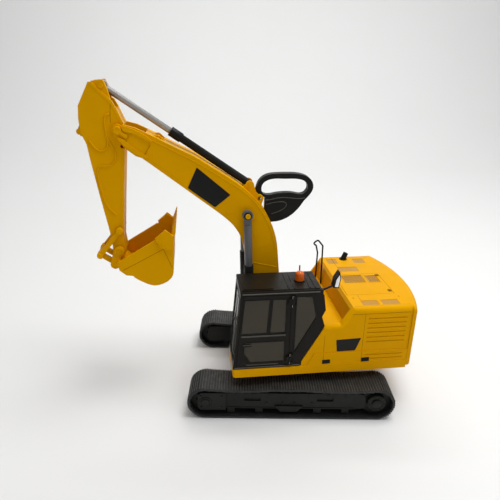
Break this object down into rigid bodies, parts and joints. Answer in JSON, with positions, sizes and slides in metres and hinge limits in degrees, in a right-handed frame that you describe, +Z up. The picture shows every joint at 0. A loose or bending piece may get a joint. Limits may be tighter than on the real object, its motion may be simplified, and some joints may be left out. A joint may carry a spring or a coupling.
{
  "type": "toy excavator",
  "caption": "Toy crawler excavator with a cab, boom, stick and bucket, opening door and engine hood, and rubber tracks.",
  "frame": {"origin": "the slew axis where it meets the ground", "axes": "+X the way the tracks point, +Y the machine's left, +Z up; the upper structure rests slewed 6.87 degrees towards +Y"},
  "size_m": [0.4419, 0.2147, 0.428],
  "materials": {
    "yellow_plastic": "satin injection-moulded plastic",
    "black_plastic": "fine matt texture",
    "dark_grey_plastic": "fine matt texture",
    "grey_plastic": "satin",
    "black_rubber": "matt moulded",
    "tinted_pane": "clear brown tint, glossy",
    "orange_lens": "clear orange, glossy",
    "steel": "plated",
    "silver_foil": "reflective"
  },
  "bodies": {
    "undercarriage": {"car_body": "dark_grey_plastic", "track_frame_left": "dark_grey_plastic", "track_frame_right": "dark_grey_plastic", "track_belt_left": "black_rubber", "track_belt_right": "black_rubber", "track_rollers": "dark_grey_plastic", "track_axles": "dark_grey_plastic"},
    "upper": {"turntable_deck": "yellow_plastic", "slew_retainer": "dark_grey_plastic", "slew_screw": "steel", "body_housing": "yellow_plastic", "roof_vents": "yellow_plastic", "counterweight": "yellow_plastic", "hinge_pins": "steel", "engine_block": "dark_grey_plastic", "right_tank": "yellow_plastic", "boom_bracket": "yellow_plastic", "base_pins": "steel", "handrail": "black_plastic", "exhaust_stub": "black_plastic", "cab_frame": "black_plastic", "windshield": "tinted_pane", "cab_windows": "tinted_pane", "cab_roof": "black_plastic", "beacon_lens": "orange_lens", "mirror_bracket": "black_plastic", "mirror_glass": "silver_foil", "operator_seat": "black_plastic", "control_levers": "black_plastic"},
    "hood": {"engine_hood": "yellow_plastic", "hood_grilles": "yellow_plastic"},
    "door": {"door_frame": "black_plastic", "door_glass": "tinted_pane"},
    "boom": {"boom_shell_left": "yellow_plastic", "boom_shell_right": "yellow_plastic", "boom_screws": "yellow_plastic", "boom_pipes": "yellow_plastic", "boom_pins": "yellow_plastic", "arm_cylinder_bracket": "yellow_plastic", "carry_handle": "black_plastic"},
    "lift_rod_left": {"boom_rod_left": "grey_plastic"},
    "lift_rod_right": {"boom_rod_right": "grey_plastic"},
    "lift_barrel_left": {"boom_barrel_left": "black_plastic"},
    "lift_barrel_right": {"boom_barrel_right": "black_plastic"},
    "arm_sleeve": {"arm_barrel": "black_plastic"},
    "arm_piston": {"arm_rod": "steel"},
    "stick": {"stick_shell_left": "yellow_plastic", "stick_shell_right": "yellow_plastic", "stick_screws": "yellow_plastic", "stick_pins": "yellow_plastic"},
    "bucket": {"bucket_shell": "yellow_plastic", "bucket_pins": "yellow_plastic"},
    "rocker": {"rocker_arms": "yellow_plastic", "knee_pin": "yellow_plastic"},
    "link": {"bucket_link": "yellow_plastic"},
    "drive_left": {"drive_wheel_left": "dark_grey_plastic"},
    "drive_right": {"drive_wheel_right": "dark_grey_plastic"},
    "idle_left": {"idler_left": "dark_grey_plastic"},
    "idle_right": {"idler_right": "dark_grey_plastic"}
  },
  "joints": [
    {"name": "slew", "type": "hinge", "parent": "undercarriage", "child": "upper", "pos_m": [0, 0, 0.05], "axis": [0, 0, 1], "continuous": true},
    {"name": "boom_lift", "type": "hinge", "parent": "upper", "child": "boom", "pos_m": [0.02482, 0.00299, 0.104], "axis": [0.1196, -0.9928, 0], "range_deg": [-30, 8]},
    {"name": "lift_rod_left_tilt", "type": "hinge", "parent": "boom", "child": "lift_rod_left", "pos_m": [0.0618, 0.03383, 0.2648], "axis": [0.1196, -0.9928, 0], "range_deg": [-2, 4]},
    {"name": "lift_barrel_left_slide", "type": "slide", "parent": "lift_rod_left", "child": "lift_barrel_left", "axis": [-0.0296, -0.0036, -0.9996], "range_m": [-0.025, 0.01]},
    {"name": "lift_rod_right_tilt", "type": "hinge", "parent": "boom", "child": "lift_rod_right", "pos_m": [0.06806, -0.01819, 0.2648], "axis": [0.1196, -0.9928, 0], "range_deg": [-2, 4]},
    {"name": "lift_barrel_right_slide", "type": "slide", "parent": "lift_rod_right", "child": "lift_barrel_right", "axis": [-0.0296, -0.0036, -0.9996], "range_m": [-0.025, 0.01]},
    {"name": "stick_swing", "type": "hinge", "parent": "boom", "child": "stick", "pos_m": [0.21991, 0.0265, 0.3718], "axis": [0.1196, -0.9928, 0], "range_deg": [-8, 35]},
    {"name": "arm_sleeve_tilt", "type": "hinge", "parent": "boom", "child": "arm_sleeve", "pos_m": [0.06056, 0.0073, 0.3005], "axis": [0.1196, -0.9928, 0], "range_deg": [-3, 8]},
    {"name": "arm_piston_slide", "type": "slide", "parent": "arm_sleeve", "child": "arm_piston", "axis": [0.8192, 0.0987, 0.5649], "range_m": [-0.028, 0.01]},
    {"name": "bucket_curl", "type": "hinge", "parent": "stick", "child": "bucket", "pos_m": [0.23033, 0.02775, 0.217], "axis": [0.1196, -0.9928, 0], "range_deg": [-10, 60]},
    {"name": "rocker_swing", "type": "hinge", "parent": "stick", "child": "rocker", "pos_m": [0.22785, 0.02745, 0.245], "axis": [0.1196, -0.9928, 0], "range_deg": [-8, 30]},
    {"name": "link_swing", "type": "hinge", "parent": "rocker", "child": "link", "pos_m": [0.25466, 0.03068, 0.212], "axis": [0.1196, -0.9928, 0], "range_deg": [-25, 6]},
    {"name": "cab_door", "type": "hinge", "parent": "upper", "child": "door", "pos_m": [0.00362, 0.09199, 0.128], "axis": [0, 0, 1], "range_deg": [0, 85]},
    {"name": "engine_hood_lift", "type": "hinge", "parent": "upper", "child": "hood", "pos_m": [-0.07276, 0.00785, 0.1537], "axis": [-0.1196, 0.9928, 0], "range_deg": [0, 60]},
    {"name": "drive_left_spin", "type": "hinge", "parent": "undercarriage", "child": "drive_left", "pos_m": [-0.115, 0.0845, 0.0245], "axis": [0, 1, 0], "continuous": true},
    {"name": "idle_left_spin", "type": "hinge", "parent": "undercarriage", "child": "idle_left", "pos_m": [0.115, 0.0845, 0.0245], "axis": [0, 1, 0], "continuous": true},
    {"name": "drive_right_spin", "type": "hinge", "parent": "undercarriage", "child": "drive_right", "pos_m": [-0.115, -0.0845, 0.0245], "axis": [0, 1, 0], "continuous": true},
    {"name": "idle_right_spin", "type": "hinge", "parent": "undercarriage", "child": "idle_right", "pos_m": [0.115, -0.0845, 0.0245], "axis": [0, 1, 0], "continuous": true}
  ],
  "couplings": [
    {"joint": "lift_rod_left_tilt", "follows": "boom_lift", "ratio": -0.0701},
    {"joint": "lift_barrel_left_slide", "follows": "boom_lift", "m_per_rad": 0.03786},
    {"joint": "lift_rod_right_tilt", "follows": "boom_lift", "ratio": -0.0701},
    {"joint": "lift_barrel_right_slide", "follows": "boom_lift", "m_per_rad": 0.03786},
    {"joint": "arm_sleeve_tilt", "follows": "stick_swing", "ratio": 0.1621},
    {"joint": "arm_piston_slide", "follows": "stick_swing", "m_per_rad": -0.03862},
    {"joint": "rocker_swing", "follows": "bucket_curl", "ratio": 0.4447},
    {"joint": "link_swing", "follows": "bucket_curl", "ratio": -0.3601},
    {"joint": "idle_left_spin", "follows": "drive_left_spin", "ratio": 1},
    {"joint": "idle_right_spin", "follows": "drive_right_spin", "ratio": 1}
  ]
}
